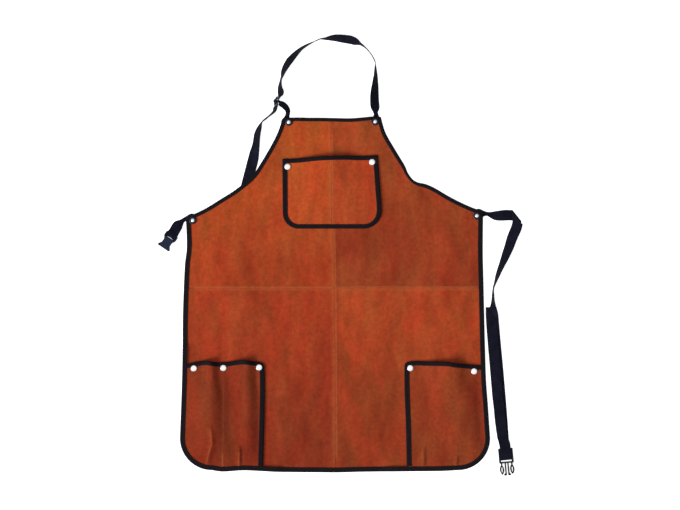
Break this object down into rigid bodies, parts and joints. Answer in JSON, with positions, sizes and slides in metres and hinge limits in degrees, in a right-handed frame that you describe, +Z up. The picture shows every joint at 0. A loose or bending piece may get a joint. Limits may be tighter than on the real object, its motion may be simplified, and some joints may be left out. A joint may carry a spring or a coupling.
{
  "type": "suede work apron",
  "caption": "Bib apron of pieced brown suede lying flat, bound in black tape, with riveted chest, tool and hand pockets, an adjustable neck strap and a buckled waist strap.",
  "frame": {"origin": "middle of the apron's bounding box, on the surface that it lies on", "axes": "+Y from the hem to the bib, +X to the right of a viewer who sees the front with the bib at the top, +Z up out of the front"},
  "size_m": [0.6888, 0.8376, 0.026],
  "materials": {
    "suede_light": "napped suede",
    "suede_mid": "napped suede",
    "suede_dark": "napped suede",
    "tape": "woven tape",
    "webbing": "woven webbing",
    "nickel": "bright plate",
    "black_metal": "satin black",
    "plastic": "satin moulded"
  },
  "bodies": {
    "root": {"panel_upper_left": "suede_light", "panel_upper_right": "suede_mid", "panel_lower_left": "suede_mid", "panel_lower_right": "suede_mid", "binding_bib_top": "tape", "binding_armhole_left": "tape", "binding_armhole_right": "tape", "binding_hem": "tape", "chest_pocket_left": "suede_light", "chest_pocket_right": "suede_mid", "chest_pocket_binding": "tape", "tool_pocket": "suede_dark", "tool_pocket_binding": "tape", "hand_pocket": "suede_dark", "hand_pocket_binding": "tape", "rivet_chest_left": "nickel", "rivet_chest_right": "nickel", "rivet_tool_outer": "nickel", "rivet_tool_middle": "nickel", "rivet_tool_inner": "nickel", "rivet_hand_inner": "nickel", "rivet_hand_outer": "nickel", "rivet_neck_left": "nickel", "washer_neck_left": "black_metal", "rivet_neck_right": "nickel", "washer_neck_right": "black_metal", "rivet_waist_left": "nickel", "washer_waist_left": "black_metal", "rivet_waist_right": "nickel", "washer_waist_right": "black_metal", "neck_strap": "webbing", "neck_tab": "webbing", "neck_slider": "plastic", "waist_strap_left": "webbing", "waist_strap_right": "webbing", "buckle_socket": "plastic", "buckle_prongs": "plastic"}
  },
  "joints": []
}
